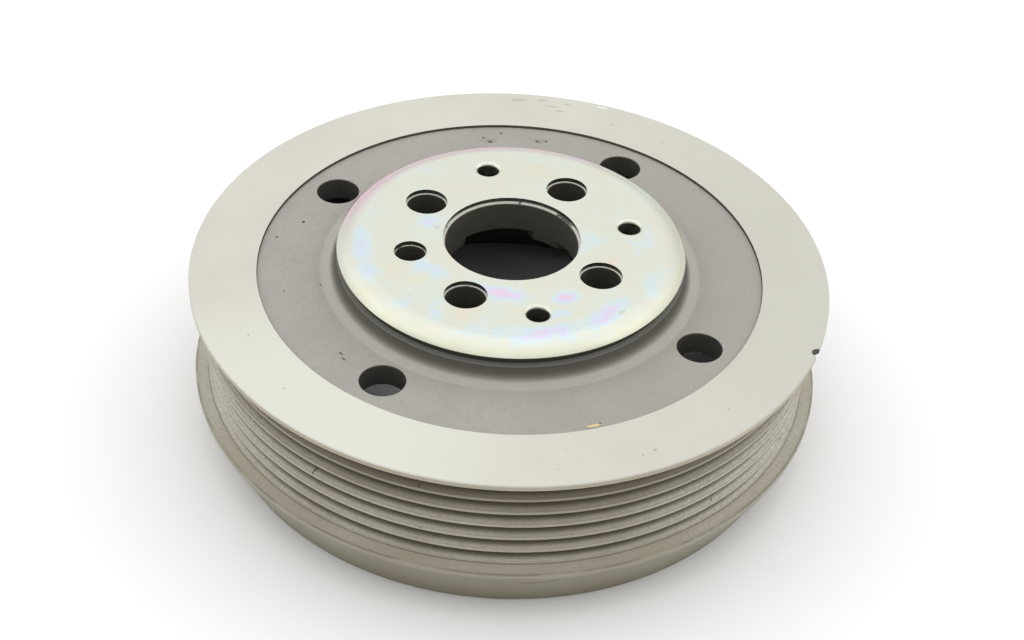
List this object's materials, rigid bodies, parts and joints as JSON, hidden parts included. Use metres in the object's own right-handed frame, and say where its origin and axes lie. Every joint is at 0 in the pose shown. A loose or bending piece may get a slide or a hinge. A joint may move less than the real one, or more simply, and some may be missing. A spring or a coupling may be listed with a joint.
{
  "type": "harmonic balancer",
  "caption": "Crankshaft harmonic balancer: ribbed belt pulley ring on an elastomer ring around a dished hub, with a zinc plated cover plate on the raised boss.",
  "frame": {"origin": "on the balancer's axis, at the back face of the inertia ring, which is the lowest point", "axes": "+Z along the axis towards the front of the engine, out of the crankshaft; +X through the first crankshaft bolt hole, with two more bolt holes on +Y and -Y"},
  "size_m": [0.142, 0.142, 0.0459],
  "materials": {
    "coated_ring": "satin off-white coating over machined cast iron",
    "elastomer": "matt black",
    "blasted_casting": "shot-blasted grey casting",
    "zinc_plate": "bright zinc plate with a faint rainbow passivation"
  },
  "bodies": {
    "root": {"inertia_ring": "coated_ring", "elastomer_ring": "elastomer", "hub": "blasted_casting", "cover_plate": "zinc_plate"}
  },
  "joints": []
}
